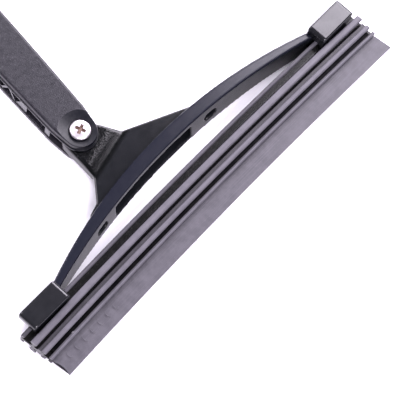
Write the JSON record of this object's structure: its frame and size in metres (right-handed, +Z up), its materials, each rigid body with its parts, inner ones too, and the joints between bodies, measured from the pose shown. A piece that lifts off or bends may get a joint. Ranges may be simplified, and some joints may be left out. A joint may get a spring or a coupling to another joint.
{
  "type": "window cleaning squeegee",
  "caption": "Hand squeegee with a ribbed rubber blade in a bowed head that swivels on a screw at the end of a flat ribbed handle.",
  "frame": {"origin": "on the table under the middle of the whole tool as it lies on its back", "axes": "+Z up from the table and out of the front of the handle, +Y from the blade to the handle's end, +X along the blade"},
  "size_m": [0.2522, 0.2822, 0.0197],
  "materials": {
    "handle_plastic": "satin fine-grained black moulding",
    "core_plastic": "plain satin black moulding",
    "frame_plastic": "black moulding, satin bow and spark-textured neck",
    "clamp_plastic": "black semi-gloss moulding",
    "blade_rubber": "black extruded rubber",
    "spline_steel": "spring steel strip",
    "screw_nickel": "bright nickel plate",
    "zinc_steel": "zinc-plated steel",
    "bush_brass": "turned brass",
    "washer_nylon": "natural nylon"
  },
  "bodies": {
    "handle": {"handle_front_shell": "handle_plastic", "handle_core": "core_plastic", "handle_rear_shell": "handle_plastic", "shell_screws": "zinc_steel", "front_eyelet": "zinc_steel", "rear_eyelet": "zinc_steel", "pivot_screw": "screw_nickel", "pivot_nut": "zinc_steel", "spring_washer": "zinc_steel", "pivot_bush": "bush_brass", "front_friction_washer": "washer_nylon", "rear_friction_washer": "washer_nylon"},
    "head": {"head_frame": "frame_plastic", "squeegee_rubber": "blade_rubber", "front_spline": "spline_steel", "rear_spline": "spline_steel", "right_front_jaw": "clamp_plastic", "right_rear_jaw": "clamp_plastic", "left_front_jaw": "clamp_plastic", "left_rear_jaw": "clamp_plastic", "clamp_screws": "zinc_steel"}
  },
  "joints": [
    {"name": "head_pivot", "type": "hinge", "parent": "handle", "child": "head", "pos_m": [-0.03, -0.05898, 0.009], "axis": [0, 0, 1], "range_deg": [-85, 62]}
  ]
}
